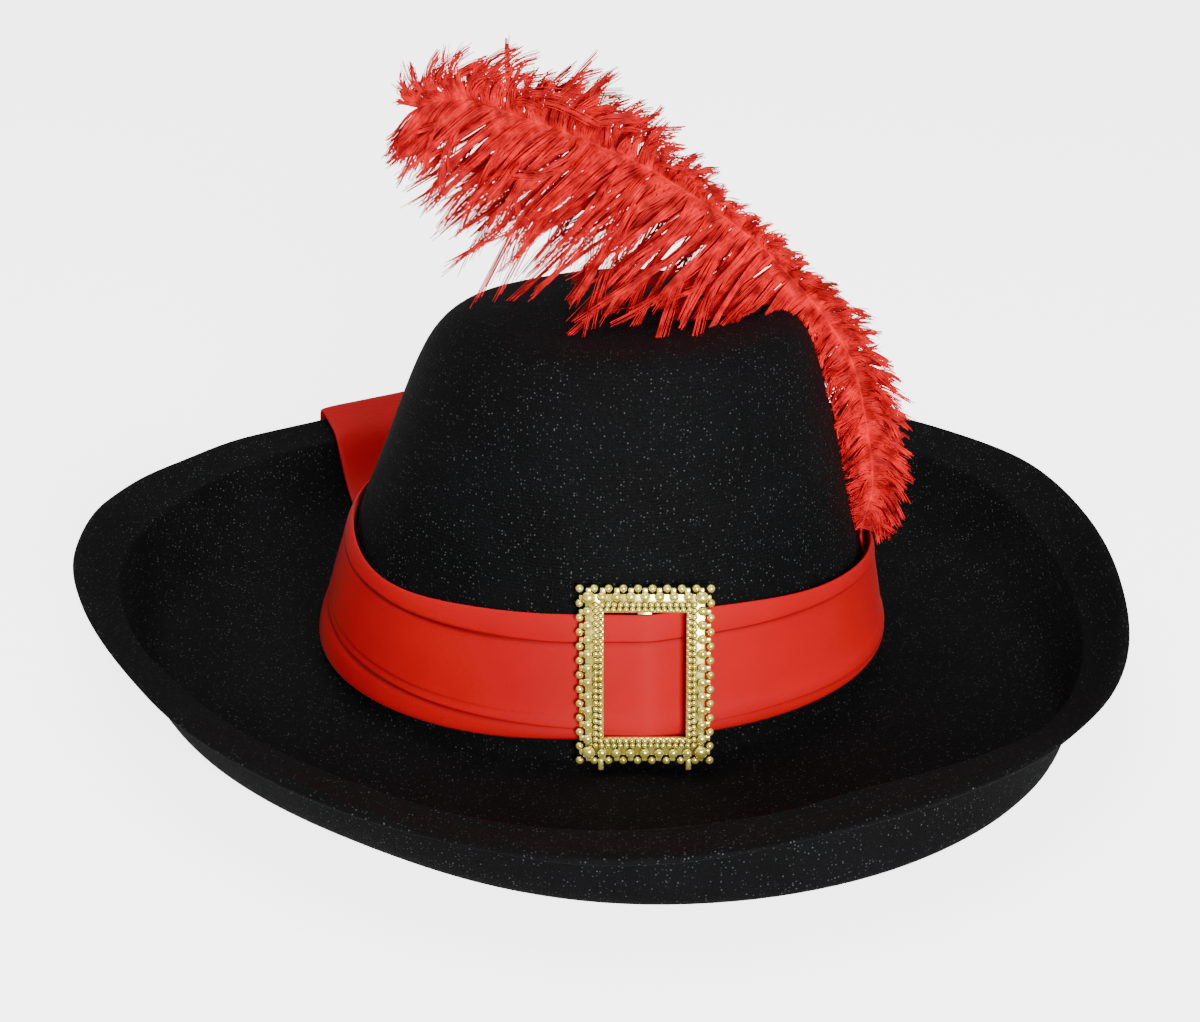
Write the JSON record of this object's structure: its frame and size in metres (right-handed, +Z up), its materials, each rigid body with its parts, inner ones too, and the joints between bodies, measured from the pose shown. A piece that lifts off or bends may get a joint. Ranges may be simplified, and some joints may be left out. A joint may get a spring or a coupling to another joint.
{
  "type": "cavalier hat",
  "caption": "Wide-brimmed felt hat with a curled brim and a hollow crown, a cloth sash with a free end, a beaded buckle and an ostrich plume.",
  "frame": {"origin": "on the table, under the middle of the whole hat", "axes": "+Z up through the crown, -Y towards the buckle, +X towards the side where the plume's quill is tucked in"},
  "size_m": [0.384, 0.3994, 0.2254],
  "materials": {
    "felt": "black flocked felt, matt, with fine glints",
    "satin": "red satin with a soft sheen",
    "gilt": "bright gilt coat",
    "feather": "soft dyed ostrich barbs"
  },
  "bodies": {
    "root": {"hat_body": "felt", "sash_band": "satin", "sash_tail": "satin", "buckle": "gilt", "plume": "feather"}
  },
  "joints": []
}
